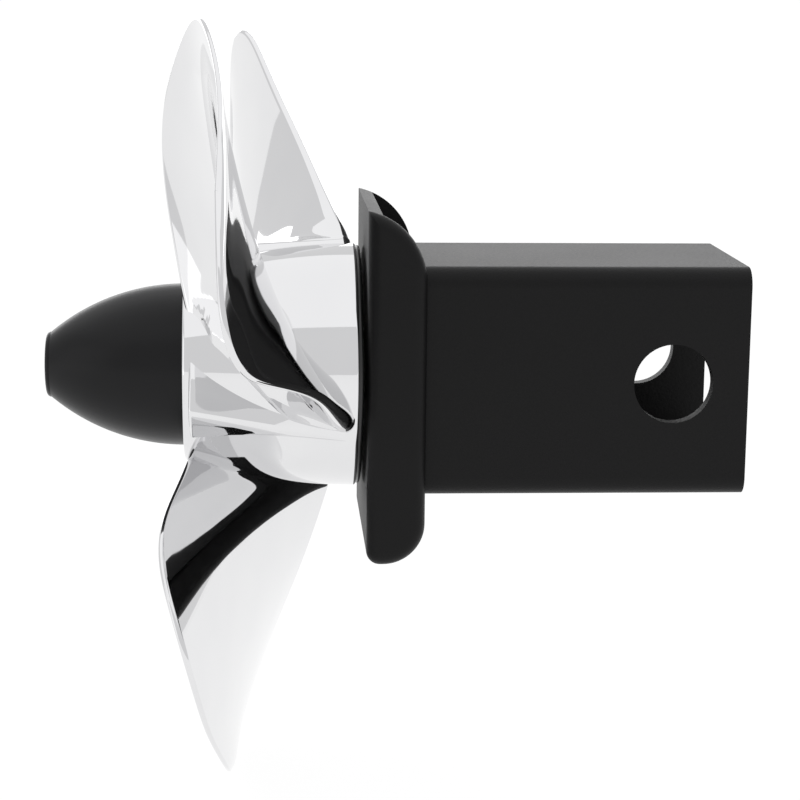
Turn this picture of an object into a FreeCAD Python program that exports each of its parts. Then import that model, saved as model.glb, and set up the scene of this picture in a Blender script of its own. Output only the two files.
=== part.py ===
import FreeCAD, Part
import math
import os

# Trailer-hitch receiver cover with a free-spinning three-blade propeller.
# Millimetres.  The spin axis and the tube's axis are the X axis.  The origin
# is the centre of the hitch-pin hole, +X runs towards the tube's open end,
# the propeller is at -X, +Y lies along the pin and +Z is up.

os.makedirs("parts", exist_ok=True)

# ---------------------------------------------------------------- sizes
# receiver tube: standard two-inch square tube
tube_side = 50.8
tube_wall = 3.2
tube_corner = 4.2
tube_open_end = 16.65
pin_hole_radius = 8.75

# folded cover plate that closes the receiver
plate_front = -67.4
plate_thick = 3.2
plate_back = plate_front + plate_thick
plate_side_gap = 0.1
plate_depth = 12.9
plate_sweep_radius = 16.0
plate_sweep_height = 22.2
plate_bottom = 40.3
plate_front_corner = 3.0
plate_rear_corner = plate_depth - plate_front_corner - 0.7
plate_rim_round = 2.9

# welds between the tube and the plate
weld_leg = 3.0
weld_margin = 5.0

# axle: M12 bolt with its head inside the tube
axle_radius = 6.0
axle_hole_clearance = 0.25
axle_plate_thick = 5.0
axle_plate_gap = 0.4
head_across = 18.0
head_height = 7.5
head_washer_radius = 12.0
head_washer_thick = 2.5
axle_end_beyond_nut = 1.5

# deep-groove ball bearings, 12 x 28 x 8
bearing_bore_radius = 6.0
bearing_outer_radius = 14.0
bearing_width = 8.0
inner_ring_radius = 8.3
outer_ring_radius = 11.7
ball_radius = 2.38
ball_circle = 10.0
ball_count = 8
ball_play = 0.03
cage_half_width = 1.2
cage_half_band = 0.55
shield_thick = 0.3
shield_inset = 0.25
shield_gap = 0.3
seat_clearance = 0.01
shaft_clearance = 0.01

# stack along the axle, measured forwards from the plate
rear_spacer_length = 5.0
bearing_sleeve_length = 11.0
spacer_radius = 8.0
axle_washer_thick = 2.5
axle_washer_radius = 8.5
nut_across = 18.0
nut_height = 8.0
nut_collar_radius = 8.2
nut_collar_height = 3.0
insert_radius = 7.2
insert_height = 2.2

# propeller hub
hub_rear = -69.2
hub_front = -107.8
hub_rear_radius = 27.7
hub_barrel_radius = 127.0
hub_lip = 0.6
hub_wall = 2.8
boss_wall = 3.4
shoulder_radius = 12.2
rib_thick = 2.6
hub_web = 4.0
circlip_thick = 1.2
circlip_groove = 0.7
circlip_inner_radius = 12.6
circlip_gap = 2.4
nose_socket_radius = 17.0
nose_socket_depth = 5.4

# black cover behind the hub
cover_thick = 1.0
cover_edge_inset = 0.5
cover_plug_depth = 2.0
cover_plug_gap = 0.15
cover_bore_radius = 9.4
screw_count = 3
screw_circle = hub_rear_radius - 6.7
screw_radius = 1.45
screw_head_radius = 2.8
screw_head_height = 1.6
screw_length = 9.0
screw_boss_radius = 3.4
screw_hole_clearance = 0.05
screw_first_angle = 90.0

# nose cone
nose_base_radius = 18.4
nose_length = 31.2
nose_arc_radius = 47.0
nose_tip_round = 1.0
nose_wall = 3.6
nose_bore_radius = 13.4
nose_bore_length = 7.0
nose_plug_gap = 0.1
seal_section_radius = 1.0
seal_squeeze = 0.1
seal_groove_width = 2.3
seal_setback = 2.5

# blades
blade_count = 3
blade_angle = 139.0
blade_camber = 0.015
# the sections are drawn for a hub of this rear radius, and move out with it
blade_table_radius = 27.7
# height above the axis, then trailing offset and place, leading offset and
# place, greatest thickness, trailing edge thickness, leading edge thickness
blade_sections = [
    (12.0, 12.0, -101.6, 22.4, -72.0, 5.2, 4.0, 4.6),
    (16.9, 5.8, -103.6, 24.0, -73.0, 5.2, 3.6, 4.6),
    (21.7, -1.8, -105.7, 25.4, -74.3, 5.0, 3.0, 4.2),
    (27.6, -13.0, -108.4, 27.2, -75.8, 4.6, 2.2, 3.4),
    (33.4, -25.3, -110.7, 29.0, -77.3, 4.2, 1.8, 2.8),
    (41.2, -37.0, -111.3, 31.9, -79.6, 3.8, 1.6, 2.3),
    (51.0, -43.8, -109.1, 36.2, -83.0, 3.4, 1.5, 2.0),
    (60.7, -45.7, -106.3, 40.9, -86.7, 3.0, 1.4, 1.8),
    (70.4, -41.9, -103.8, 45.7, -90.2, 2.7, 1.3, 1.6),
    (78.2, -34.2, -101.9, 48.7, -93.0, 2.4, 1.2, 1.5),
    (85.0, -22.4, -99.9, 47.8, -95.7, 2.1, 1.1, 1.4),
    (89.9, -9.1, -98.4, 41.2, -97.4, 1.9, 1.1, 1.3),
    (92.6, 5.5, -98.0, 31.0, -98.0, 1.5, 1.0, 1.2),
]
blade_chord_points = 9

# fairing between a blade's pressure face and the hub: radius and angle of
# each corner, at the front and at the rear, drawn like the blades for a hub
# of the table's radius
fairing_front = -105.5
fairing_rear = -72.0
fairing_front_corners = [
    (16.0, 150.0), (19.0, 153.0), (21.5, 162.0), (24.4, 179.0),
    (28.0, 195.0), (22.0, 221.0), (16.0, 221.0),
]
fairing_rear_corners = [
    (16.0, 192.0), (28.0, 193.0), (28.6, 198.0), (28.8, 202.0),
    (28.6, 206.0), (27.0, 209.0), (16.0, 209.0),
]

# ---------------------------------------------------------------- helpers
vec = FreeCAD.Vector
x_axis = vec(1, 0, 0)


def rod(radius, x_from, x_to):
    """Solid cylinder on the X axis between two places along it."""
    low = min(x_from, x_to)
    high = max(x_from, x_to)
    return Part.makeCylinder(radius, high - low, vec(low, 0, 0), x_axis)


def ring(outer, inner, x_from, x_to):
    """Flat ring or sleeve on the X axis."""
    return rod(outer, x_from, x_to).cut(rod(inner, x_from, x_to))


def polar(x, radius, angle):
    """Point at a place along X, a radius and an angle from +Y towards +Z."""
    turn = math.radians(angle)
    return vec(x, radius * math.cos(turn), radius * math.sin(turn))


def hex_bar(across, x_from, x_to):
    """Hexagonal prism on the X axis, by its width across flats."""
    low = min(x_from, x_to)
    high = max(x_from, x_to)
    corner = across / math.sqrt(3.0)
    points = [polar(low, corner, 30.0 + 60.0 * k) for k in range(7)]
    face = Part.Face(Part.makePolygon(points))
    return face.extrude(vec(high - low, 0, 0))


def square_bar(side, corner, x_from, x_to):
    """Square prism on the X axis with rounded long edges."""
    half = side / 2.0
    block = Part.makeBox(x_to - x_from, side, side, vec(x_from, -half, -half))
    long_edges = []
    for edge in block.Edges:
        ends = edge.Vertexes
        if abs(ends[0].X - ends[1].X) > 0.5 * (x_to - x_from):
            long_edges.append(edge)
    return block.makeFillet(corner, long_edges)


def spun(profile):
    """Solid of revolution about X from a closed list of (x, radius) edges."""
    face = Part.Face(Part.Wire(profile))
    return face.revolve(vec(0, 0, 0), x_axis, 360.0)


def line(start, end):
    """Straight edge between two (x, radius) pairs in the XZ plane."""
    return Part.makeLine(vec(start[0], 0, start[1]), vec(end[0], 0, end[1]))


def arc(start, middle, end):
    """Circular edge through three (x, radius) pairs in the XZ plane."""
    points = [vec(p[0], 0, p[1]) for p in (start, middle, end)]
    return Part.Arc(points[0], points[1], points[2]).toShape()


def around(shape, count, first=0.0):
    """Copies of a shape evenly spaced about the X axis."""
    copies = []
    for k in range(count):
        copy = shape.copy()
        copy.rotate(vec(0, 0, 0), x_axis, first + 360.0 * k / count)
        copies.append(copy)
    return copies


def save(name, shape):
    """Write one node, as a single closed solid."""
    solid = shape.Solids[0] if len(shape.Solids) == 1 else shape
    if len(shape.Solids) != 1 or not solid.isValid():
        raise ValueError(name + " is not one valid solid")
    solid.exportStep("parts/" + name + ".step")


# ---------------------------------------------------------------- mount
tube_inner = tube_side - 2.0 * tube_wall
tube = square_bar(tube_side, tube_corner, plate_back, tube_open_end)
bore = square_bar(tube_inner, tube_corner - tube_wall, plate_back, tube_open_end)
pin = Part.makeCylinder(pin_hole_radius, 2.0 * tube_side,
                        vec(0, -tube_side, 0), vec(0, 1, 0))
save("receiver_tube", tube.cut(bore).cut(pin))

# cover plate: side profile drawn in XZ, drawn out sideways, then hollowed
plate_half = tube_side / 2.0 + plate_side_gap + plate_thick
plate_rear = plate_front + plate_depth
sweep_x = plate_rear - plate_sweep_radius
sweep_rise = math.sqrt(plate_sweep_radius ** 2 - (plate_front - sweep_x) ** 2)
plate_top = plate_sweep_height + sweep_rise
diagonal = math.radians(50.0)
sweep_mid = (sweep_x + plate_sweep_radius * math.cos(diagonal),
             plate_sweep_height + plate_sweep_radius * math.sin(diagonal))
rear_c = plate_rear_corner
front_c = plate_front_corner
quarter = math.cos(math.radians(45.0))
rear_mid = (plate_rear - rear_c * (1.0 - quarter),
            -plate_bottom + rear_c * (1.0 - quarter))
front_mid = (plate_front + front_c * (1.0 - quarter),
             -plate_bottom + front_c * (1.0 - quarter))
outline = [
    line((plate_front, -plate_bottom + front_c), (plate_front, plate_top)),
    arc((plate_front, plate_top), sweep_mid, (plate_rear, plate_sweep_height)),
    line((plate_rear, plate_sweep_height), (plate_rear, -plate_bottom + rear_c)),
    arc((plate_rear, -plate_bottom + rear_c), rear_mid,
        (plate_rear - rear_c, -plate_bottom)),
    line((plate_rear - rear_c, -plate_bottom), (plate_front + front_c, -plate_bottom)),
    arc((plate_front + front_c, -plate_bottom), front_mid,
        (plate_front, -plate_bottom + front_c)),
]
side_face = Part.Face(Part.Wire(outline))
side_face.translate(vec(0, -plate_half, 0))
plate = side_face.extrude(vec(0, 2.0 * plate_half, 0))
rim_edges = []
for edge in plate.Edges:
    if abs(abs(edge.CenterOfMass.y) - plate_half) < 0.01:
        rim_edges.append(edge)
plate = plate.makeFillet(plate_rim_round, rim_edges)
channel_half = tube_side / 2.0 + plate_side_gap
channel = Part.makeBox(2.0 * plate_depth, 2.0 * channel_half, 4.0 * plate_bottom,
                       vec(plate_back, -channel_half, -2.0 * plate_bottom))
axle_hole = rod(axle_radius + axle_hole_clearance, plate_front - 1.0, plate_back + 1.0)
save("cover_plate", plate.cut(channel).cut(axle_hole))

# weld beads above and below the tube
bead_length = tube_side - 2.0 * weld_margin
for name, side in (("weld_top", 1.0), ("weld_bottom", -1.0)):
    base = side * tube_side / 2.0
    corners = [vec(plate_back, -bead_length / 2.0, base),
               vec(plate_back + weld_leg, -bead_length / 2.0, base),
               vec(plate_back, -bead_length / 2.0, base + side * weld_leg)]
    bead = Part.Face(Part.makePolygon(corners + corners[:1]))
    save(name, bead.extrude(vec(0, bead_length, 0)))

# plate welded inside the tube that carries the axle
axle_plate_side = tube_inner - 2.0 * axle_plate_gap
axle_plate_rear = plate_back + axle_plate_thick
axle_plate = square_bar(axle_plate_side, 1.0, plate_back, axle_plate_rear)
save("axle_plate", axle_plate.cut(rod(axle_radius + axle_hole_clearance,
                                      plate_back - 1.0, axle_plate_rear + 1.0)))

# ---------------------------------------------------------------- axle stack
washer_rear = axle_plate_rear + head_washer_thick
rear_bearing_back = plate_front - rear_spacer_length
rear_bearing_front = rear_bearing_back - bearing_width
front_bearing_back = rear_bearing_front - bearing_sleeve_length
front_bearing_front = front_bearing_back - bearing_width
washer_front = front_bearing_front - axle_washer_thick
nut_front = washer_front - nut_height
collar_front = nut_front - nut_collar_height
axle_front = collar_front - axle_end_beyond_nut

save("head_washer", ring(head_washer_radius, axle_radius + axle_hole_clearance,
                         axle_plate_rear, washer_rear))
shank = rod(axle_radius, axle_front, washer_rear)
head = hex_bar(head_across, washer_rear, washer_rear + head_height)
head_cone = Part.makeCone(head_across * 0.62, head_across * 0.48, head_height,
                          vec(washer_rear, 0, 0), x_axis)
tip_edges = []
for edge in shank.Edges:
    if abs(edge.CenterOfMass.x - axle_front) < 0.01:
        tip_edges.append(edge)
shank = shank.makeChamfer(1.0, tip_edges)
save("axle_bolt", shank.fuse(head.common(head_cone)).removeSplitter())

sleeve_bore = axle_radius + shaft_clearance
save("rear_spacer", ring(spacer_radius, sleeve_bore, rear_bearing_back, plate_front))
save("bearing_sleeve", ring(spacer_radius, sleeve_bore,
                            front_bearing_back, rear_bearing_front))
save("axle_washer", ring(axle_washer_radius, sleeve_bore,
                         washer_front, front_bearing_front))
nut = hex_bar(nut_across, nut_front, washer_front)
nut = nut.fuse(rod(nut_collar_radius, collar_front, nut_front)).removeSplitter()
nut = nut.cut(rod(sleeve_bore, collar_front - 1.0, washer_front + 1.0))
insert_back = collar_front + insert_height
nut = nut.cut(rod(insert_radius, collar_front, insert_back))
save("axle_nut", nut)
save("nut_insert", ring(insert_radius, sleeve_bore, collar_front, insert_back))


# ---------------------------------------------------------------- bearings
def bearing(label, back, front):
    """Two rings, two shields and a caged set of balls between two places."""
    middle = (back + front) / 2.0
    race = Part.makeTorus(ball_circle, ball_radius + ball_play, vec(middle, 0, 0), x_axis)
    bore_radius = bearing_bore_radius + shaft_clearance
    outside = bearing_outer_radius - seat_clearance
    inner = ring(inner_ring_radius, bore_radius, front, back)
    outer = ring(outside, outer_ring_radius, front, back)
    save(label + "_inner_ring", inner.cut(race))
    save(label + "_outer_ring", outer.cut(race))
    for word, place in (("rear", back - shield_inset),
                        ("front", front + shield_inset + shield_thick)):
        shield = ring(outer_ring_radius, inner_ring_radius + shield_gap,
                      place - shield_thick, place)
        save(label + "_shield_" + word, shield)
    cage = ring(ball_circle + cage_half_band, ball_circle - cage_half_band,
                middle - cage_half_width, middle + cage_half_width)
    balls = []
    for k in range(ball_count):
        centre = polar(middle, ball_circle, 360.0 * k / ball_count)
        balls.append(Part.makeSphere(ball_radius, centre))
    save(label + "_cage", cage.multiFuse(balls).removeSplitter())


bearing("rear_bearing", rear_bearing_back, rear_bearing_front)
bearing("front_bearing", front_bearing_back, front_bearing_front)


# ---------------------------------------------------------------- blades
def hub_radius(x):
    """Outside radius of the barrel-shaped hub at a place along it."""
    run = hub_rear - x
    drop = hub_barrel_radius - math.sqrt(hub_barrel_radius ** 2 - run ** 2)
    return hub_rear_radius - drop


def blade_point(x, offset, height):
    """Place a section point: Z is the height, the offset runs against +Y."""
    return vec(x, -offset, height)


root_rise = hub_rear_radius - blade_table_radius


def blade_wire(section):
    """Closed section of the blade at one height above the axis."""
    height, v_trail, x_trail, v_lead, x_lead, thick, t_trail, t_lead = section
    height += root_rise
    chord = math.hypot(x_lead - x_trail, v_lead - v_trail)
    along_x = (x_lead - x_trail) / chord
    along_v = (v_lead - v_trail) / chord
    suction = []
    pressure = []
    last = blade_chord_points - 1
    for k in range(blade_chord_points):
        part_way = k / last
        swell = 4.0 * part_way * (1.0 - part_way)
        edge_half = 0.5 * (t_trail + (t_lead - t_trail) * part_way)
        half = edge_half + 0.5 * (thick - 0.5 * (t_trail + t_lead)) * swell
        mid = blade_camber * chord * swell
        x = x_trail + along_x * chord * part_way + along_v * mid
        v = v_trail + along_v * chord * part_way - along_x * mid
        suction.append(blade_point(x + along_v * half, v - along_x * half, height))
        pressure.append(blade_point(x - along_v * half, v + along_x * half, height))
    pressure.reverse()
    lead = blade_point(x_lead + along_x * 0.5 * t_lead,
                       v_lead + along_v * 0.5 * t_lead, height)
    trail = blade_point(x_trail - along_x * 0.5 * t_trail,
                        v_trail - along_v * 0.5 * t_trail, height)
    back_curve = Part.BSplineCurve()
    back_curve.interpolate(suction)
    face_curve = Part.BSplineCurve()
    face_curve.interpolate(pressure)
    edges = [back_curve.toShape(),
             Part.Arc(suction[-1], lead, pressure[0]).toShape(),
             face_curve.toShape(),
             Part.Arc(pressure[-1], trail, suction[0]).toShape()]
    return Part.Wire(edges)


wires = [blade_wire(section) for section in blade_sections]
blade = Part.makeLoft(wires, True, False)
blade.rotate(vec(0, 0, 0), x_axis, blade_angle - 90.0)


def corner_wire(x, corners):
    """Closed polygon across the axis from a list of radii and angles."""
    points = [polar(x, radius + root_rise, angle) for radius, angle in corners]
    return Part.makePolygon(points + points[:1])


fairing = Part.makeLoft([corner_wire(fairing_front, fairing_front_corners),
                         corner_wire(fairing_rear, fairing_rear_corners)], True, True)

# ---------------------------------------------------------------- propeller
# hub outside: barrel arc between two small rounded lips
hub_front_radius = hub_radius(hub_front)
rear_start = hub_rear - hub_lip
front_start = hub_front + hub_lip
middle_x = (hub_rear + hub_front) / 2.0
lip_turn = hub_lip * (1.0 - quarter)
hub_outline = [
    line((hub_front, 0.0), (hub_front, hub_front_radius - hub_lip)),
    arc((hub_front, hub_front_radius - hub_lip),
        (hub_front + lip_turn, hub_front_radius - lip_turn),
        (front_start, hub_radius(front_start))),
    arc((front_start, hub_radius(front_start)), (middle_x, hub_radius(middle_x)),
        (rear_start, hub_radius(rear_start))),
    arc((rear_start, hub_radius(rear_start)),
        (hub_rear - lip_turn, hub_rear_radius - lip_turn),
        (hub_rear, hub_rear_radius - hub_lip)),
    line((hub_rear, hub_rear_radius - hub_lip), (hub_rear, 0.0)),
    line((hub_rear, 0.0), (hub_front, 0.0)),
]
casting = spun(hub_outline)
for copy in around(blade, blade_count):
    casting = casting.fuse(copy)
for copy in around(fairing, blade_count):
    casting = casting.fuse(copy)

# hollow behind the front web, between the outer wall and the bearing boss
boss_radius = bearing_outer_radius + boss_wall
web_rear = front_bearing_front + hub_web
hollow_outline = [
    line((hub_rear + 1.0, 0.0), (hub_rear + 1.0, hub_rear_radius - hub_wall)),
    line((hub_rear + 1.0, hub_rear_radius - hub_wall),
         (hub_rear, hub_rear_radius - hub_wall)),
    line((hub_rear, hub_rear_radius - hub_wall), (web_rear, hub_radius(web_rear) - hub_wall)),
    line((web_rear, hub_radius(web_rear) - hub_wall), (web_rear, 0.0)),
    line((web_rear, 0.0), (hub_rear + 1.0, 0.0)),
]
hollow = spun(hollow_outline)
plug_back = hub_rear - cover_plug_depth
boss_back = plug_back - cover_plug_gap
hollow = hollow.cut(rod(boss_radius, boss_back, web_rear - 1.0))
rib_height = hub_rear_radius - hub_wall
rib = Part.makeBox(boss_back - web_rear + 1.0, rib_thick, rib_height + 1.0,
                   vec(web_rear - 1.0, -rib_thick / 2.0, 0))
screw_boss = Part.makeCylinder(screw_boss_radius, boss_back - web_rear + 1.0,
                               vec(web_rear - 1.0, 0, screw_circle), x_axis)
rib_first = screw_first_angle - 90.0
for copy in around(rib.fuse(screw_boss), screw_count, rib_first):
    hollow = hollow.cut(copy)
casting = casting.cut(hollow)

# bearing seats, snap-ring groove and the socket of the nose cone
groove_back = front_bearing_front - circlip_thick
socket_back = hub_front + nose_socket_depth
casting = casting.cut(rod(shoulder_radius, hub_front - 1.0, hub_rear + 1.0))
casting = casting.cut(rod(bearing_outer_radius, rear_bearing_front, hub_rear + 1.0))
casting = casting.cut(rod(bearing_outer_radius, hub_front - 1.0, front_bearing_back))
casting = casting.cut(rod(bearing_outer_radius + circlip_groove,
                          groove_back, front_bearing_front))
casting = casting.cut(rod(nose_socket_radius, hub_front - 1.0, socket_back))
screw_hole_back = hub_rear - screw_length
screw_hole = Part.makeCylinder(screw_radius + screw_hole_clearance,
                               hub_rear + 1.0 - screw_hole_back,
                               vec(screw_hole_back, 0, screw_circle), x_axis)
for copy in around(screw_hole, screw_count, rib_first):
    casting = casting.cut(copy)
save("propeller", casting)

# snap ring: open ring with two ears
circlip = ring(bearing_outer_radius + circlip_groove - 0.1, circlip_inner_radius,
               groove_back, front_bearing_front)
gap_cut = Part.makeBox(2.0 * circlip_thick, circlip_gap, 20.0,
                       vec(groove_back - 0.5 * circlip_thick, -circlip_gap / 2.0, 0))
save("retaining_ring", circlip.cut(gap_cut))

# ---------------------------------------------------------------- rear cover
cover_front = hub_rear
cover_back = hub_rear + cover_thick
cover = rod(hub_rear_radius - cover_edge_inset, cover_front, cover_back)
outer_edge = []
for edge in cover.Edges:
    if abs(edge.CenterOfMass.x - cover_back) < 0.01:
        outer_edge.append(edge)
cover = cover.makeFillet(0.6 * cover_thick, outer_edge)
plug_radius = hub_rear_radius - hub_wall - 0.25
cover = cover.fuse(rod(plug_radius, plug_back, cover_front)).removeSplitter()
cover = cover.cut(rod(cover_bore_radius, plug_back - 1.0, cover_back + 1.0))
head_front = cover_back - screw_head_height
countersink = Part.makeCone(screw_radius, screw_head_radius, screw_head_height,
                            vec(head_front, 0, screw_circle), x_axis)
through = Part.makeCylinder(screw_radius + screw_hole_clearance, 3.0 * cover_plug_depth,
                            vec(plug_back - cover_plug_depth, 0, screw_circle), x_axis)
for copy in around(countersink.fuse(through), screw_count, rib_first):
    cover = cover.cut(copy)
save("hub_rear_cover", cover)

screw_tip = cover_back - screw_length
screw = Part.makeCylinder(screw_radius, head_front - screw_tip,
                          vec(screw_tip, 0, screw_circle), x_axis)
screw = screw.fuse(countersink).removeSplitter()
drive = hex_bar(2.0, cover_back - 0.9, cover_back + 1.0)
drive.translate(vec(0, 0, screw_circle))
screw = screw.cut(drive)
for k, copy in enumerate(around(screw, screw_count, rib_first)):
    save("cover_screw_%d" % (k + 1), copy)

# ---------------------------------------------------------------- nose cone
nose_front = hub_front - nose_length


def nose_radius(x):
    """Radius of the nose: a circular arc that starts square to its base."""
    run = hub_front - x
    drop = nose_arc_radius - math.sqrt(nose_arc_radius ** 2 - run ** 2)
    return nose_base_radius - drop


tip_radius = nose_radius(nose_front)
plug_outer = nose_socket_radius - nose_plug_gap
plug_end = socket_back - nose_plug_gap
bore_front = plug_end - nose_bore_length - nose_socket_depth
nose_middle = (hub_front + nose_front) / 2.0
round_start = nose_front + nose_tip_round
round_turn = nose_tip_round * (1.0 - quarter)
flat_radius = nose_radius(round_start) - nose_tip_round
inner_front = nose_front + 2.0 * nose_wall
inner_tip = nose_radius(inner_front) - nose_wall
nose_outline = [
    line((plug_end, nose_bore_radius), (plug_end, plug_outer)),
    line((plug_end, plug_outer), (hub_front, plug_outer)),
    line((hub_front, plug_outer), (hub_front, nose_base_radius)),
    arc((hub_front, nose_base_radius), (nose_middle, nose_radius(nose_middle)),
        (round_start, nose_radius(round_start))),
    arc((round_start, nose_radius(round_start)),
        (nose_front + round_turn, nose_radius(round_start) - round_turn),
        (nose_front, flat_radius)),
    line((nose_front, flat_radius), (nose_front, 0.0)),
    line((nose_front, 0.0), (inner_front, 0.0)),
    line((inner_front, 0.0), (inner_front, inner_tip)),
    line((inner_front, inner_tip), (bore_front, nose_bore_radius)),
    line((bore_front, nose_bore_radius), (plug_end, nose_bore_radius)),
]
nose = spun(nose_outline)
seal_x = hub_front + seal_setback
groove_floor = nose_socket_radius + seal_squeeze - 2.0 * seal_section_radius
groove_half = seal_groove_width / 2.0
nose = nose.cut(ring(plug_outer + 1.0, groove_floor,
                     seal_x - groove_half, seal_x + groove_half))
save("nose_cone", nose)
seal_circle = nose_socket_radius + seal_squeeze - seal_section_radius
save("nose_seal_ring", Part.makeTorus(seal_circle, seal_section_radius,
                                      vec(seal_x, 0, 0), x_axis))
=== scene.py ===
# %% [markdown]
# # A propeller that spins on a trailer hitch
# The real object plugs into the square receiver under a truck. A black powder-coated
# tube and a folded plate carry a chrome propeller that turns freely on a bolt. The
# measured solids arrive as a fixed frame. This lesson gives them finishes, and makes
# the polished casting again as smooth surfaces, because a mirror shows every facet.

# %% load the frame and keep its box
import math

import bmesh
import bpy
import numpy as np
from mathutils import Matrix, Vector


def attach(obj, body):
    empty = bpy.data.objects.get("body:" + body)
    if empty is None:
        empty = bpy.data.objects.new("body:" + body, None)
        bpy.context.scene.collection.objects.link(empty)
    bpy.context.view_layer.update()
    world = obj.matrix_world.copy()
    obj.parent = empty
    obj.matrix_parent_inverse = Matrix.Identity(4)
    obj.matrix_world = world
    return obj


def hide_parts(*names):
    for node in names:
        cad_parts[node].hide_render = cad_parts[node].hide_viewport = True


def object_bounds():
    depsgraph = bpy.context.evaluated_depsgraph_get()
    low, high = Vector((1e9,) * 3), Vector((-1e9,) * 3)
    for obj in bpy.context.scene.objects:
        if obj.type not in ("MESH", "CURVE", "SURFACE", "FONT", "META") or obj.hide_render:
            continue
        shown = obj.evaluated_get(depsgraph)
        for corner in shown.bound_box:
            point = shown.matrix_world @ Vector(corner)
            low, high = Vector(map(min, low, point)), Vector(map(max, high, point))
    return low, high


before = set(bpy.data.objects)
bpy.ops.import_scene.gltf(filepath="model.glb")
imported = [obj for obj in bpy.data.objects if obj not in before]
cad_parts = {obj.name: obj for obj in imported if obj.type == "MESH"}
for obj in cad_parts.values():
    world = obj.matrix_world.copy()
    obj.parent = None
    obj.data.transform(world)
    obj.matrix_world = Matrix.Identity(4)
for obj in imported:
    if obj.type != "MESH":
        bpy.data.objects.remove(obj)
cad_box = [list(corner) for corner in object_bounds()]

# %% [markdown]
# ## Camera
# The view is from a little above the shaft, almost square to it. A long lens keeps the
# tube's edges nearly parallel. The camera is placed by three angles: its azimuth, its
# elevation and a small roll, and its axes are worked out from them.

# %% camera from three angles
scene = bpy.context.scene
camera_place = np.array([-0.088879, -0.484278, 0.086526])
azimuth, elevation, roll = np.radians([-3.5754, 11.0757, 0.5957])
backwards = np.array([math.sin(azimuth) * math.cos(elevation),
                      -math.cos(azimuth) * math.cos(elevation), math.sin(elevation)])
level_right = np.cross([0.0, 0.0, 1.0], backwards)
level_right /= np.linalg.norm(level_right)
level_up = np.cross(backwards, level_right)
right = math.cos(roll) * level_right + math.sin(roll) * level_up
up = math.cos(roll) * level_up - math.sin(roll) * level_right
turn = np.eye(4)
turn[:3, 0], turn[:3, 1], turn[:3, 2], turn[:3, 3] = right, up, backwards, camera_place
lens = bpy.data.cameras.new("studio_camera")
lens.lens, lens.sensor_width = 96.587, 36.0
lens.clip_start, lens.clip_end = 0.01, 50.0
camera = bpy.data.objects.new("studio_camera", lens)
scene.collection.objects.link(camera)
camera.matrix_world = Matrix(turn.tolist())
scene.camera = camera
print("camera looks along", np.round(-backwards, 3))

# %% [markdown]
# ## Meshes from arrays
# Every new surface here is a grid of points worked out by numpy. The same helper turns
# any grid into a mesh: it numbers the squares with whole arrays and can join the grid
# to itself both ways. Points that fall together at a pole are merged afterwards.


# %% grid of points to mesh
def grid_squares(rows, columns, wrap_rows, wrap_columns):
    """Corner numbers of the squares of a grid: (i, j), (i+1, j), (i+1, j+1), (i, j+1)."""
    i = np.arange(rows if wrap_rows else rows - 1)[:, None]
    j = np.arange(columns if wrap_columns else columns - 1)[None, :]
    i_next, j_next = (i + 1) % rows, (j + 1) % columns
    corners = [i * columns + j, i_next * columns + j,
               i_next * columns + j_next, i * columns + j_next]
    return np.stack(np.broadcast_arrays(*corners), axis=-1).reshape(-1, 4)


def mesh_from_grids(name, grids, sharp_angle=40.0):
    """One mesh from several (points, wrap_rows, wrap_columns) grids, doubles merged,
    faces outwards, shaded smooth except where two faces meet at more than an angle."""
    points, squares, start = [], [], 0
    for grid, wrap_rows, wrap_columns in grids:
        rows, columns = grid.shape[:2]
        squares.append(grid_squares(rows, columns, wrap_rows, wrap_columns) + start)
        points.append(grid.reshape(-1, 3))
        start += rows * columns
    points, squares = np.concatenate(points), np.concatenate(squares)
    mesh = bpy.data.meshes.new(name)
    mesh.vertices.add(len(points))
    mesh.vertices.foreach_set("co", (points * 0.001).astype(np.float32).ravel())
    mesh.loops.add(squares.size)
    mesh.loops.foreach_set("vertex_index", squares.astype(np.int32).ravel())
    mesh.polygons.add(len(squares))
    mesh.polygons.foreach_set("loop_start", np.arange(0, squares.size, 4, dtype=np.int32))
    mesh.update(calc_edges=True)
    close_mesh(mesh)
    mesh.polygons.foreach_set("use_smooth", np.ones(len(mesh.polygons), dtype=bool))
    mesh.set_sharp_from_angle(angle=math.radians(sharp_angle))
    piece = bpy.data.objects.new(name, mesh)
    scene.collection.objects.link(piece)
    print(name, len(mesh.vertices), "points", len(mesh.polygons), "faces")
    return piece


def close_mesh(mesh):
    """Merge points that coincide, drop squares that shrank away, turn faces outwards."""
    work = bmesh.new()
    work.from_mesh(mesh)
    bmesh.ops.remove_doubles(work, verts=work.verts, dist=2e-7)
    bmesh.ops.dissolve_degenerate(work, edges=work.edges, dist=1e-8)
    bmesh.ops.recalc_face_normals(work, faces=work.faces)
    open_edges = sum(1 for edge in work.edges if len(edge.link_faces) != 2)
    work.to_mesh(mesh)
    work.free()
    print(mesh.name, "open edges:", open_edges)


# %% [markdown]
# ## Hub
# The real hub is cast and turned in a lathe, so it is a body of revolution: a barrel
# outside, a hollow behind the front web, and a bore that seats two bearings. Turning
# one closed profile about the shaft gives all of that. Sizes are in millimetres and
# repeat those of the measured solid, so the bearings still sit in their seats.

# %% hub profile and turning
hub_rear, hub_front = -69.2, -107.8
hub_rear_radius, hub_barrel_radius, hub_wall = 27.7, 127.0, 2.8
nose_socket_radius, boss_radius = 17.0, 17.4
seat_radius, shoulder_radius, ring_groove_radius = 14.0, 12.2, 14.7


def hub_radius(x):
    """Barrel radius at x: the rear radius less the sagitta of a 127 mm arc."""
    run = np.minimum(hub_rear - x, 60.0)
    return hub_rear_radius - hub_barrel_radius + np.sqrt(hub_barrel_radius ** 2 - run ** 2)


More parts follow.
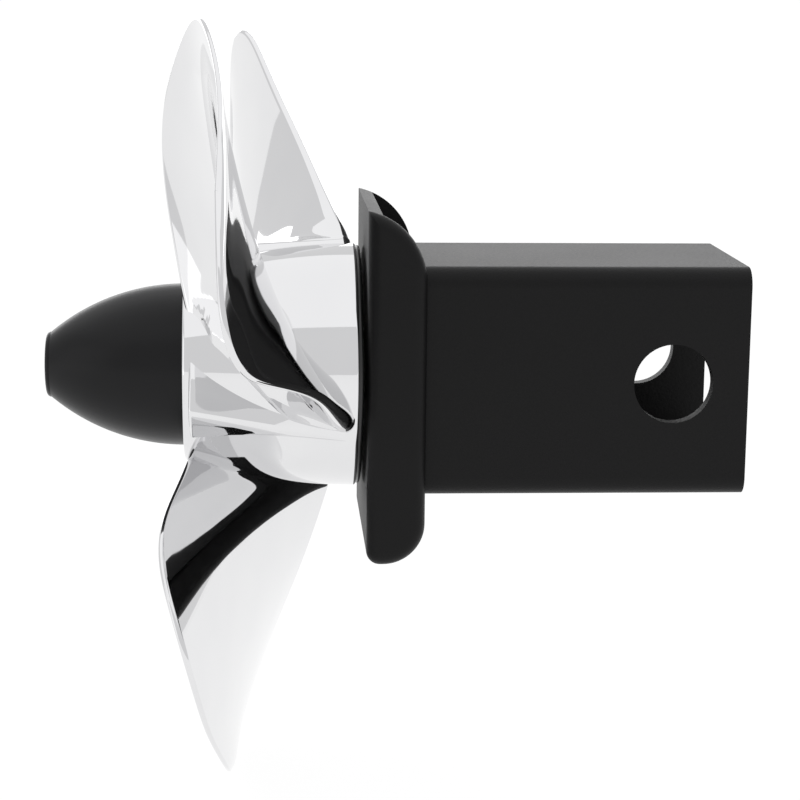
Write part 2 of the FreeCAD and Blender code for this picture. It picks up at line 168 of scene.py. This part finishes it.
def turned(profile, segments=256):
    """Grid of a closed (x, radius) profile turned about X: (x, r cos a, r sin a)."""
    angle = np.linspace(0.0, 2.0 * math.pi, segments, endpoint=False)
    x, r = profile[:, 0][:, None], profile[:, 1][:, None]
    return np.stack([x + 0.0 * angle, r * np.cos(angle), r * np.sin(angle)], axis=-1)


def round_corner(corner, before, after, radius, steps=5):
    """Points of a quarter-turn blend: a quadratic curve from before to after the corner."""
    corner, before, after = map(np.array, (corner, before, after))
    start = corner + (before - corner) * radius / np.linalg.norm(before - corner)
    end = corner + (after - corner) * radius / np.linalg.norm(after - corner)
    t = np.linspace(0.0, 1.0, steps)[:, None]
    return (1 - t) ** 2 * start + 2 * t * (1 - t) * corner + t ** 2 * end


front_radius = float(hub_radius(hub_front))
barrel_x = np.linspace(hub_rear - 0.6, hub_front + 0.6, 48)
inner_x = np.linspace(hub_rear, -95.6, 20)
hub_profile = np.concatenate([
    round_corner((hub_rear, hub_rear_radius), (hub_rear, 20.0), (-80.0, 27.6), 0.6),
    np.stack([barrel_x, hub_radius(barrel_x)], axis=-1),
    round_corner((hub_front, front_radius), (-100.0, front_radius + 2.0),
                 (hub_front, nose_socket_radius), 0.6),
    [(hub_front, nose_socket_radius), (-102.4, nose_socket_radius),
     (-102.4, seat_radius), (-100.6, seat_radius),
     (-100.6, ring_groove_radius), (-99.4, ring_groove_radius),
     (-99.4, seat_radius), (-91.4, seat_radius),
     (-91.4, shoulder_radius), (-80.4, shoulder_radius),
     (-80.4, seat_radius), (-71.4, seat_radius),
     (-71.4, boss_radius), (-95.4, boss_radius)],
    np.stack([inner_x, hub_radius(inner_x) - hub_wall], axis=-1)[::-1],
])
hub_grid = turned(hub_profile)

# %% [markdown]
# ## Blades
# A blade is a thin cast sheet: two faces, a round rim all the way along its outline,
# and a fillet where it grows out of the hub. Its middle surface is drawn by sections
# at several heights. The sections are joined by smooth curves of q, the square root
# of the distance below the tip, because both edges then run into the tip like the
# ends of an ellipse instead of stopping short.

# %% blade sections
# height, trailing offset and place, leading offset and place, thickness at the
# middle, at the trailing edge and at the leading edge
blade_sections = np.array([
    (12.0, 12.0, -101.6, 22.4, -72.0, 5.2, 4.0, 4.6),
    (16.9, 5.8, -103.6, 24.0, -73.0, 5.2, 3.6, 4.6),
    (21.7, -1.8, -105.7, 25.4, -74.3, 5.0, 3.0, 4.2),
    (27.6, -13.0, -108.4, 27.2, -75.8, 4.6, 2.2, 3.4),
    (33.4, -25.3, -110.7, 29.0, -77.3, 4.2, 1.8, 2.8),
    (41.2, -37.0, -111.3, 31.9, -79.6, 3.8, 1.6, 2.3),
    (51.0, -43.8, -109.1, 36.2, -83.0, 3.4, 1.5, 2.0),
    (60.7, -45.7, -106.3, 40.9, -86.7, 3.0, 1.4, 1.8),
    (70.4, -41.9, -103.8, 45.7, -90.2, 2.7, 1.3, 1.6),
    (78.2, -34.2, -101.9, 48.7, -93.0, 2.4, 1.2, 1.5),
    (85.0, -22.4, -99.9, 47.8, -95.7, 2.1, 1.1, 1.4),
    (90.3, -9.1, -98.4, 41.2, -97.4, 1.9, 1.1, 1.3),
    (93.5, 5.5, -98.0, 31.0, -98.0, 1.5, 1.0, 1.2),
    (94.2, 19.0, -98.3, 19.0, -98.3, 1.2, 1.1, 1.1),
])
tip_height = blade_sections[-1, 0]
blade_camber = 0.015
blade_turn = 49.0
root_fillet, fillet_starts, fillet_full_after = 4.0, 2.9, 8.0


def smooth_curve(knots, values, at):
    """Natural cubic spline: second slopes m solve (h0 m0 + 2(h0+h1) m1 + h1 m2) / 6 =
    change of slope, and each span is its chord plus the two cubic bulges of m."""
    order = np.argsort(knots)
    t, y = knots[order], values[order]
    h = np.diff(t)
    slope = np.diff(y, axis=0) / h[:, None]
    matrix = np.eye(len(t))
    inner = np.arange(1, len(t) - 1)
    matrix[inner, inner - 1] = h[:-1] / 6.0
    matrix[inner, inner] = (h[:-1] + h[1:]) / 3.0
    matrix[inner, inner + 1] = h[1:] / 6.0
    bend = np.zeros_like(y)
    bend[1:-1] = np.diff(slope, axis=0)
    bend = np.linalg.solve(matrix, bend)
    k = np.clip(np.searchsorted(t, at) - 1, 0, len(t) - 2)
    a, b, w = t[k + 1] - at, at - t[k], h[k]
    a, b, w = a[:, None], b[:, None], w[:, None]
    chord = (y[k] * a + y[k + 1] * b) / w
    return chord - (bend[k] * a * (w * w - a * a) + bend[k + 1] * b * (w * w - b * b)) / (6 * w)


# %% blade surface
def unit(vectors):
    """Vectors divided by their length."""
    return vectors / np.maximum(np.linalg.norm(vectors, axis=-1, keepdims=True), 1e-12)


def blade_grid(rows=190, across=56, rim=12):
    """Closed rings from root to tip. The middle surface is trailing + (leading -
    trailing) a + camber. A ring goes over it at +half thickness, round the leading
    rim on a half circle, back at -half thickness and round the trailing rim. The
    rings crowd towards the root, q = q0 (1 - s^1.6), where the fillet needs them."""
    q_knots = np.sqrt(tip_height - blade_sections[:, 0])
    q = q_knots[0] * (1.0 - np.linspace(0.0, 1.0, rows) ** 1.6)
    table = smooth_curve(q_knots, blade_sections[:, 1:], q)
    v_trail, x_trail, v_lead, x_lead, thick, t_trail, t_lead = table.T[:, :, None]
    height = (tip_height - q ** 2)[:, None]
    a = (0.5 - 0.5 * np.cos(np.linspace(0.0, math.pi, across)))[None, :]
    swell = 4.0 * a * (1.0 - a)
    run_x, run_v = x_lead - x_trail, v_lead - v_trail
    middle = np.stack([x_trail + run_x * a + blade_camber * swell * run_v,
                       -(v_trail + run_v * a - blade_camber * swell * run_x),
                       height + 0.0 * a], axis=-1)
    along = np.gradient(middle, axis=0)
    normal = np.cross(along, np.gradient(middle, axis=1))
    normal[-1] = normal[-2]
    normal = unit(normal)
    edge_half = 0.5 * (t_trail + (t_lead - t_trail) * a)
    half = edge_half + 0.5 * (thick - 0.5 * (t_trail + t_lead)) * swell
    bend = np.linspace(0.5 * math.pi, -0.5 * math.pi, rim)[None, :, None]

    def rim_points(column, towards):
        """Half circle about an edge point in the plane of the normal and outwards."""
        outwards = unit(np.cross(along[:, column], normal[:, column]))
        inwards = np.sum(outwards * (middle[:, column] - middle[:, towards]), axis=-1)
        sign = np.where(np.sum(inwards[:-1]) < 0.0, -1.0, 1.0)
        side = normal[:, column][:, None] * np.sin(bend) + sign * outwards[:, None] * np.cos(bend)
        base = np.repeat(middle[:, column][:, None], rim, axis=1)
        return base, side, np.repeat(half[:, column][:, None], rim, axis=1)

    lead = rim_points(-1, across // 2)
    trail = rim_points(0, across // 2)
    base = np.concatenate([middle, lead[0][:, 1:-1], middle[:, ::-1],
                           trail[0][:, ::-1][:, 1:-1]], axis=1)
    side = np.concatenate([normal, lead[1][:, 1:-1], -normal[:, ::-1],
                           trail[1][:, ::-1][:, 1:-1]], axis=1)
    reach = np.concatenate([half, lead[2][:, 1:-1], half[:, ::-1],
                            trail[2][:, ::-1][:, 1:-1]], axis=1)
    return with_root_fillet(base, side, reach)


def with_root_fillet(base, side, reach):
    """Push points outwards near the hub by R - sqrt(R^2 - (R - d)^2), where d is the
    height above the hub, and keep that height, so the foot lies along the barrel.
    R shrinks to nothing towards both ends of the barrel."""
    radial = np.concatenate([np.zeros_like(base[..., :1]), base[..., 1:]], axis=-1)
    radius = np.linalg.norm(radial, axis=-1)
    rise = radius - hub_radius(base[..., 0])
    to_end = np.minimum(hub_rear - base[..., 0], base[..., 0] - hub_front)
    room = np.clip((to_end - fillet_starts) / fillet_full_after, 0.0, 1.0)
    fillet = np.maximum(root_fillet * room, 0.001)
    short = np.clip(fillet - rise, 0.0, fillet)
    flare = fillet - np.sqrt(np.maximum(fillet ** 2 - short ** 2, 0.0))
    r_dir = unit(radial)
    near = (short / root_fillet)[..., None]
    flat_side = unit(side - near * np.sum(side * r_dir, axis=-1, keepdims=True) * r_dir)
    plain = base + reach[..., None] * side
    moved = plain + flare[..., None] * flat_side
    wanted = hub_radius(moved[..., 0]) + np.linalg.norm(plain[..., 1:], axis=-1) \
        - hub_radius(plain[..., 0])
    scale = wanted / np.maximum(np.linalg.norm(moved[..., 1:], axis=-1), 1e-9)
    moved[..., 1:] *= np.where(flare > 0.0, scale, 1.0)[..., None]
    moved[..., 0] = np.minimum(moved[..., 0], hub_rear - 0.15)
    return moved


def turned_copy(grid, degrees):
    """The same grid turned about the X axis."""
    c, s = math.cos(math.radians(degrees)), math.sin(math.radians(degrees))
    return np.stack([grid[..., 0], grid[..., 1] * c - grid[..., 2] * s,
                     grid[..., 1] * s + grid[..., 2] * c], axis=-1)


def capped(grid):
    """Close the first and last ring of a grid with a point at its middle."""
    ends = [np.broadcast_to(ring.mean(axis=0), ring.shape)[None] for ring in (grid[0], grid[-1])]
    return np.concatenate([ends[0], grid, ends[1]], axis=0)


blade = turned_copy(capped(blade_grid()), blade_turn)
print("blade reaches radius", round(float(np.linalg.norm(blade[..., 1:], axis=-1).max()), 2))

# %% [markdown]
# ## Root fairings
# Beside each blade's foot the casting swells into a wedge: a tall flat front end that
# tapers rearwards into the blade. It is a loft, a straight blend between two closed
# outlines whose corners are rounded, with the front end's edge softened.

# %% fairing wedge
fairing_front, fairing_rear = -105.5, -72.0
fairing_front_corners = [(16.0, 150.0), (19.0, 153.0), (21.5, 162.0), (24.4, 179.0),
                         (28.0, 195.0), (22.0, 221.0), (16.0, 221.0)]
fairing_rear_corners = [(16.0, 192.0), (28.0, 193.0), (28.6, 198.0), (28.8, 202.0),
                        (28.6, 206.0), (27.0, 209.0), (16.0, 209.0)]


def rounded_loop(corners, share=0.28, steps=8):
    """Closed outline from (radius, degrees) corners: each corner becomes a quadratic
    curve that starts and ends a share of the way along its two sides."""
    radius, degrees = np.array(corners).T
    p = np.stack([radius * np.cos(np.radians(degrees)), radius * np.sin(np.radians(degrees))], -1)
    start = (p + (np.roll(p, 1, axis=0) - p) * share)[:, None]
    end = (p + (np.roll(p, -1, axis=0) - p) * share)[:, None]
    t = np.linspace(0.0, 1.0, steps)[None, :, None]
    return ((1 - t) ** 2 * start + 2 * t * (1 - t) * p[:, None] + t ** 2 * end).reshape(-1, 2)


def fairing_grid(columns=40, edge=0.7):
    """Rings (x, y, z) with outline = front + (rear - front) s, softened at the front."""
    front, rear = rounded_loop(fairing_front_corners), rounded_loop(fairing_rear_corners)
    s = np.linspace(0.0, 1.0, columns)[:, None, None]
    outline = front + (rear - front) * s
    x = (fairing_front + (fairing_rear - fairing_front) * s) + 0.0 * outline[..., :1]
    rings = np.concatenate([x, outline], axis=-1)
    turn_in = np.linspace(0.0, 0.5 * math.pi, 7)[:-1][:, None, None]
    inset = front - unit(front - front.mean(axis=0)) * edge * (1.0 - np.sin(turn_in))
    soft_x = fairing_front - edge * np.cos(turn_in) + 0.0 * inset[..., :1]
    return np.concatenate([np.concatenate([soft_x, inset], axis=-1), rings], axis=0)


fairing = capped(fairing_grid())

# %% the casting as one mesh
casting_grids = [(hub_grid, True, True)]
for number in range(3):
    casting_grids.append((turned_copy(blade, 120.0 * number), False, True))
    casting_grids.append((turned_copy(fairing, 120.0 * number), False, True))
casting = mesh_from_grids("propeller_casting", casting_grids, 32.0)
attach(casting, "propeller")
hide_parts("propeller")

# %% [markdown]
# ## Writing shader maths
# A finish is easier to read as a formula. This small class wraps an output socket, so
# that `1 - grain * 0.3` adds the Math nodes itself. Other nodes come from one method
# that sets a node's own settings first and its inputs after.


# %% sockets as numbers
class Wire:
    """An output socket that can be added, subtracted, multiplied and raised."""

    def __init__(self, paint, socket):
        self.paint, self.socket = paint, socket

    def maths(self, operation, first, second):
        node = self.paint.node("ShaderNodeMath", {"operation": operation}, {0: first, 1: second})
        return Wire(self.paint, node.outputs[0])

    def __add__(self, other):
        return self.maths("ADD", self, other)

    __radd__ = __add__

    def __mul__(self, other):
        return self.maths("MULTIPLY", self, other)

    __rmul__ = __mul__

    def __sub__(self, other):
        return self.maths("SUBTRACT", self, other)

    def __rsub__(self, other):
        return self.maths("SUBTRACT", other, self)

    def __pow__(self, other):
        return self.maths("POWER", self, other)


class Finish:
    """A material with its Principled shader and the nodes that feed it."""

    def __init__(self, name, **constants):
        self.material = bpy.data.materials.new(name)
        self.material.use_nodes = True
        self.tree = self.material.node_tree
        self.shader = next(n for n in self.tree.nodes if n.type == "BSDF_PRINCIPLED")
        for socket, value in constants.items():
            self.shader.inputs[socket.replace("_", " ")].default_value = value
        self.place = Wire(self, self.node("ShaderNodeTexCoord").outputs["Object"])

    def node(self, kind, settings=None, inputs=None):
        """Add a node: first its settings, then its sockets' values or links."""
        made = self.tree.nodes.new(kind)
        for key, value in (settings or {}).items():
            setattr(made, key, value)
        for key, value in (inputs or {}).items():
            if isinstance(value, Wire):
                self.tree.links.new(value.socket, made.inputs[key])
            else:
                made.inputs[key].default_value = value
        return made

    def noise(self, scale, detail=2.0, roughness=0.5, stretch=(1.0, 1.0, 1.0)):
        """Soft noise whose blotches are about 1/scale metres across."""
        mapped = self.node("ShaderNodeMapping", {}, {"Vector": self.place, "Scale": stretch})
        made = self.node("ShaderNodeTexNoise", {}, {
            "Vector": Wire(self, mapped.outputs[0]), "Scale": scale,
            "Detail": detail, "Roughness": roughness})
        return Wire(self, made.outputs["Fac"])

    def blend(self, mask, dark, light):
        """Colour between two colours by a mask."""
        made = self.node("ShaderNodeMix", {"data_type": "RGBA"}, {0: mask, 6: dark, 7: light})
        return Wire(self, made.outputs[2])

    def feed(self, socket, value):
        self.tree.links.new(value.socket, self.shader.inputs[socket])

    def bump(self, height, distance, strength=1.0):
        made = self.node("ShaderNodeBump", {}, {"Height": height, "Distance": distance,
                                                "Strength": strength})
        self.feed("Normal", Wire(self, made.outputs[0]))


# %% [markdown]
# ## Chrome
# Polished chrome has no colour of its own beyond a cool light grey. What tells it from
# a perfect mirror is the metal under the plating: hand polishing leaves shallow waves
# a centimetre across and faint streaks, so reflections bend a little and haze a little.

# %% chrome finish
chrome = Finish("polished_chrome", Metallic=1.0)
waves = chrome.noise(70.0, 1.0)
haze = chrome.noise(260.0, 3.0, 0.6, (1.0, 0.35, 0.35))
chrome.feed("Roughness", 0.028 + haze * 0.03)
chrome.feed("Base Color", chrome.blend(waves, (0.75, 0.75, 0.76, 1), (0.79, 0.79, 0.795, 1)))
chrome.bump(waves, 0.0001, 0.5)

# %% [markdown]
# ## Powder coat
# Powder is baked on and flows into a satin skin with a fine orange peel, about half a
# millimetre from crest to crest. It is never quite black: grey specks in the powder
# and the peel's tiny slopes catch light, most of all when seen along the surface.

# %% powder coat finish
powder = Finish("satin_powder_coat", Metallic=0.0, IOR=1.26)
peel = powder.noise(1500.0, 2.0, 0.55)
speck = powder.noise(3800.0, 1.0, 0.5)
cloud = powder.noise(28.0, 2.0, 0.5)
powder.feed("Base Color", powder.blend(speck * 0.7 + cloud * 0.3, (0.002, 0.002, 0.0022, 1),
                                       (0.007, 0.0068, 0.007, 1)))
powder.feed("Roughness", 0.34 + peel * 0.12 + cloud * 0.06)
powder.bump(peel * 0.7 + speck * 0.3, 0.00012, 0.55)

# %% [markdown]
# ## Nose, cover and small hardware
# The nose is turned and painted a smooth satin black, the cover behind the hub is the
# same black with more gloss. The bolt and nut are zinc plated, the bearing rings are
# ground steel, the snap ring is blackened spring steel and the seal is rubber.

# %% black parts
nose_black = Finish("nose_satin_black", Metallic=0.0, IOR=1.3)
lathe = nose_black.noise(900.0, 2.0, 0.5, (1.0, 0.05, 0.05))
mottle = nose_black.noise(60.0, 2.0)
nose_black.feed("Base Color", nose_black.blend(mottle, (0.003, 0.003, 0.0035, 1),
                                               (0.007, 0.007, 0.008, 1)))
nose_black.feed("Roughness", 0.26 + mottle * 0.08 + lathe * 0.03)
nose_black.bump(lathe, 0.00002, 0.4)
cover_black = Finish("cover_gloss_black", Metallic=0.0)
scuff = cover_black.noise(400.0, 3.0, 0.6)
cover_black.feed("Base Color", cover_black.blend(scuff, (0.006, 0.006, 0.006, 1),
                                                 (0.014, 0.014, 0.014, 1)))
cover_black.feed("Roughness", 0.18 + scuff * 0.14)


# %% steels, rubber and nylon
def metal(name, dark, light, rough, spread, scale, stretch=(1.0, 1.0, 1.0)):
    """Metal whose colour and roughness follow one stretched noise."""
    made = Finish(name, Metallic=1.0)
    grain = made.noise(scale, 3.0, 0.6, stretch)
    made.feed("Base Color", made.blend(grain, (*dark, 1), (*light, 1)))
    made.feed("Roughness", rough + grain * spread)
    made.bump(grain, 0.00002, 0.3)
    return made


zinc = metal("zinc_plating", (0.50, 0.50, 0.47), (0.68, 0.68, 0.66), 0.24, 0.2, 320.0)
ground = metal("ground_steel", (0.60, 0.60, 0.61), (0.74, 0.74, 0.75), 0.16, 0.12, 1400.0,
               (1.0, 0.1, 0.1))
spring = metal("blackened_spring", (0.07, 0.07, 0.08), (0.15, 0.15, 0.16), 0.3, 0.2, 700.0)
rubber = Finish("seal_rubber", Metallic=0.0)
bloom = rubber.noise(500.0, 3.0, 0.6)
rubber.feed("Base Color", rubber.blend(bloom, (0.012, 0.012, 0.012, 1), (0.03, 0.03, 0.03, 1)))
rubber.feed("Roughness", 0.62 + bloom * 0.2)
nylon = Finish("nylon_insert", Metallic=0.0)
milk = nylon.noise(300.0, 2.0)
nylon.feed("Base Color", nylon.blend(milk, (0.68, 0.70, 0.74, 1), (0.78, 0.79, 0.8, 1)))
nylon.feed("Roughness", 0.42 + milk * 0.1)

# %% finishes onto the frame's parts
finish_of = {
    "receiver_tube": powder, "cover_plate": powder, "weld_top": powder,
    "weld_bottom": powder, "axle_plate": powder, "nose_cone": nose_black,
    "hub_rear_cover": cover_black, "nose_seal_ring": rubber, "nut_insert": nylon,
    "retaining_ring": spring, "axle_bolt": zinc, "axle_nut": zinc, "axle_washer": zinc,
    "head_washer": zinc, "rear_spacer": zinc, "bearing_sleeve": zinc, "propeller": chrome,
}
for name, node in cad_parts.items():
    finish = finish_of.get(name, spring if name.startswith("cover_screw") else ground)
    node.data.materials.clear()
    node.data.materials.append(finish.material)
casting.data.materials.append(chrome.material)
print("finishes used:", len(bpy.data.materials))

# %% [markdown]
# ## Floor and light
# Chrome is lit by what surrounds it. The surroundings are a pale studio: a white floor
# that glows like a lit table, a light grey room, and one very large soft box overhead
# whose edges draw crisp borders in the mirror. A low box behind brightens the tube's top
# and a weak one at the left the nose. Where the room is seen directly it is white.

# %% pale floor
low, high = np.array(cad_box)
floor_gap, floor_reach, millimetres = 0.004, 30.0, 1000.0
floor_z = low[2] - floor_gap
reach_of_floor = np.array([-floor_reach, floor_reach])
floor_points = np.stack(np.broadcast_arrays(reach_of_floor[:, None], reach_of_floor[None, :],
                                            floor_z), axis=-1)
floor = mesh_from_grids("studio_floor", [(floor_points * millimetres, False, False)])
floor_paint = Finish("pale_floor", Roughness=0.8)
floor_paint.shader.inputs["Base Color"].default_value = (0.12, 0.12, 0.12, 1)
floor_paint.shader.inputs["Specular IOR Level"].default_value = 0.0
floor_paint.shader.inputs["Emission Color"].default_value = (1.0, 1.0, 1.0, 1)
floor_paint.shader.inputs["Emission Strength"].default_value = 0.92
floor.data.materials.append(floor_paint.material)

# %% room around the object
world = bpy.data.worlds.new("pale_room")
world.use_nodes = True
room = world.node_tree
room_light = room.nodes["Background"]
room_light.inputs["Color"].default_value = (0.78, 0.78, 0.785, 1)
backdrop = room.nodes.new("ShaderNodeBackground")
backdrop.inputs["Color"].default_value = (1.0, 1.0, 1.0, 1)
seen = room.nodes.new("ShaderNodeLightPath")
choose = room.nodes.new("ShaderNodeMixShader")
room.links.new(seen.outputs["Is Camera Ray"], choose.inputs[0])
room.links.new(room_light.outputs[0], choose.inputs[1])
room.links.new(backdrop.outputs[0], choose.inputs[2])
room.links.new(choose.outputs[0], room.nodes["World Output"].inputs["Surface"])
scene.world = world
scene.view_settings.view_transform = "Standard"
middle_of_all = Vector(0.5 * (low + high))


# %% soft boxes
def soft_box(name, offset, size, glow):
    """Rectangular light facing the object; watts = glow x pi x area keeps its look."""
    data = bpy.data.lights.new(name, "AREA")
    data.shape, data.size, data.size_y = "RECTANGLE", size[0], size[1]
    data.energy = glow * math.pi * size[0] * size[1]
    lamp = bpy.data.objects.new(name, data)
    scene.collection.objects.link(lamp)
    lamp.location = middle_of_all + Vector(offset)
    lamp.rotation_euler = (-Vector(offset)).to_track_quat("-Z", "Y").to_euler()
    print(name, "watts", round(data.energy, 1))


soft_box("overhead_box", (0.0, 0.0, 1.0), (2.4, 2.0), 0.3)
soft_box("left_box", (-1.1, -0.5, 0.25), (0.7, 0.8), 0.35)
soft_box("back_box", (0.2, 1.8, 0.38), (3.0, 0.55), 1.2)
